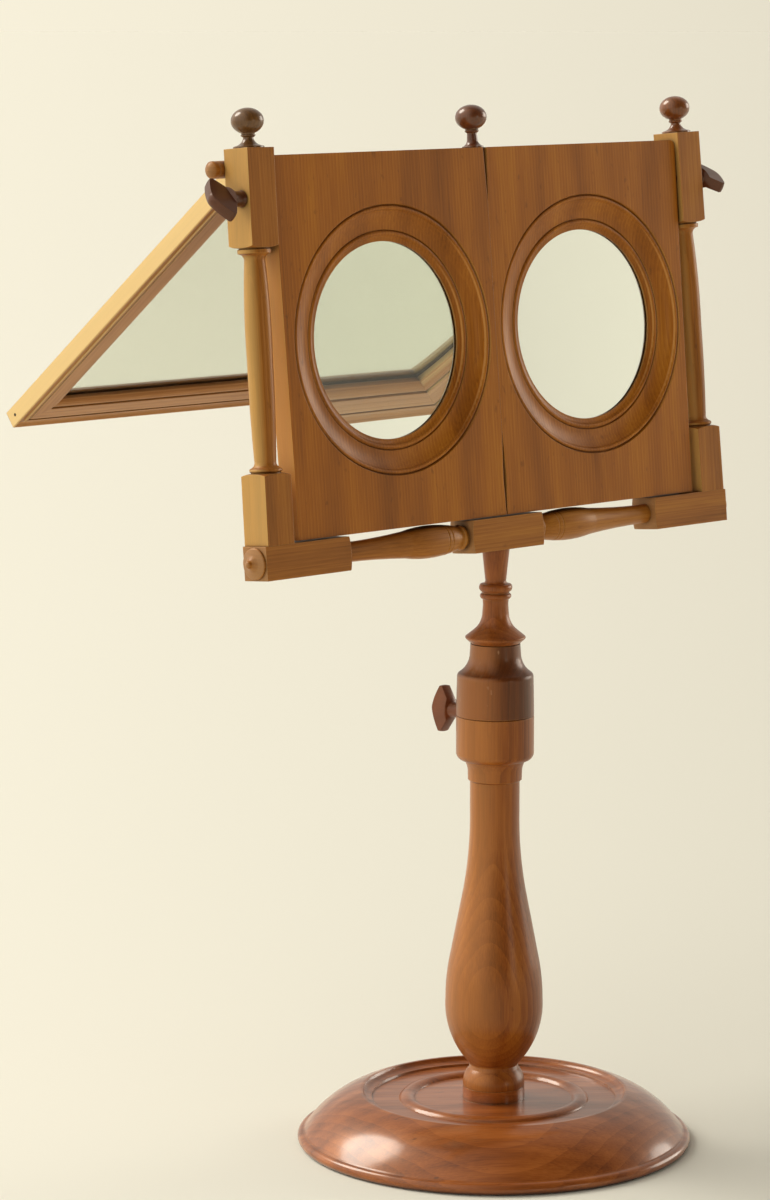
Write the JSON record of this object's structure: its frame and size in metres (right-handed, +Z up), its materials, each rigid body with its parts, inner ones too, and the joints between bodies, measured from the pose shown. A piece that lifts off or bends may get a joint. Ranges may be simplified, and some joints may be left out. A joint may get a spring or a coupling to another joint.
{
  "type": "twin-lens optical viewer with tilting mirror",
  "caption": "Turned wooden tabletop optical viewer: round base, sliding stem, panel holding a pair of round lenses between posts, and a framed mirror hinged behind it.",
  "frame": {"origin": "centre of the base's flat underside", "axes": "+Z up along the column, +X along the crossbar towards the right-hand lens as seen from the viewer's side, -Y out of the front of the lens panel"},
  "size_m": [0.3878, 0.3457, 0.5787],
  "materials": {
    "base_wood": "polished",
    "column_wood": "waxed",
    "stem_wood": "waxed",
    "frame_wood": "waxed",
    "panel_wood": "waxed",
    "finial_wood": "waxed",
    "screw_wood": "polished",
    "mirror_wood": "waxed",
    "back_wood": "raw",
    "lens_glass": "clear",
    "mirror_glass": "clear",
    "silvering": "silvered",
    "brass": "aged",
    "iron": "dull"
  },
  "bodies": {
    "stand": {"base": "base_wood", "column": "column_wood", "collar": "column_wood"},
    "column_clamp": {"column_screw": "screw_wood"},
    "stem": {"stem": "stem_wood"},
    "head": {"crossbar": "frame_wood", "left_post": "frame_wood", "right_post": "frame_wood", "left_finial": "finial_wood", "right_finial": "finial_wood", "hinge_bar": "frame_wood", "hinge_bar_screws": "brass"},
    "panel": {"left_board": "panel_wood", "right_board": "panel_wood", "panel_dowels": "frame_wood", "left_lens": "lens_glass", "right_lens": "lens_glass", "left_lens_ring": "finial_wood", "right_lens_ring": "finial_wood", "centre_finial": "finial_wood"},
    "left_wing": {"left_wing_screw": "screw_wood"},
    "right_wing": {"right_wing_screw": "screw_wood"},
    "mirror": {"mirror_bottom_rail": "mirror_wood", "mirror_top_rail": "mirror_wood", "mirror_left_rail": "mirror_wood", "mirror_right_rail": "mirror_wood", "mirror_glass": "mirror_glass", "mirror_silvering": "silvering", "mirror_backboard": "back_wood", "backboard_pins": "iron", "corner_nails": "iron", "left_hinge_strap": "brass", "right_hinge_strap": "brass", "strap_screws": "brass"}
  },
  "joints": [
    {"name": "stem_slide", "type": "slide", "parent": "stand", "child": "stem", "axis": [0, 0, 1], "range_m": [0, 0.14]},
    {"name": "column_screw_turn", "type": "hinge", "parent": "stand", "child": "column_clamp", "pos_m": [0, 0.02, 0.241], "axis": [0, 1, 0], "continuous": true},
    {"name": "head_swivel", "type": "hinge", "parent": "stem", "child": "head", "pos_m": [0, 0, 0.34], "axis": [0, 0, 1], "continuous": true},
    {"name": "panel_tilt", "type": "hinge", "parent": "head", "child": "panel", "pos_m": [0, 0.01314, 0.53227], "axis": [1, 0, 0], "range_deg": [-6, 2]},
    {"name": "left_wing_turn", "type": "hinge", "parent": "head", "child": "left_wing", "pos_m": [-0.165, 0.01314, 0.53227], "axis": [1, 0, 0], "continuous": true},
    {"name": "right_wing_turn", "type": "hinge", "parent": "head", "child": "right_wing", "pos_m": [0.165, 0.01314, 0.53227], "axis": [1, 0, 0], "continuous": true},
    {"name": "mirror_tilt", "type": "hinge", "parent": "head", "child": "mirror", "pos_m": [0, 0.03104, 0.54658], "axis": [1, 0, 0], "range_deg": [-58, 40]}
  ]
}
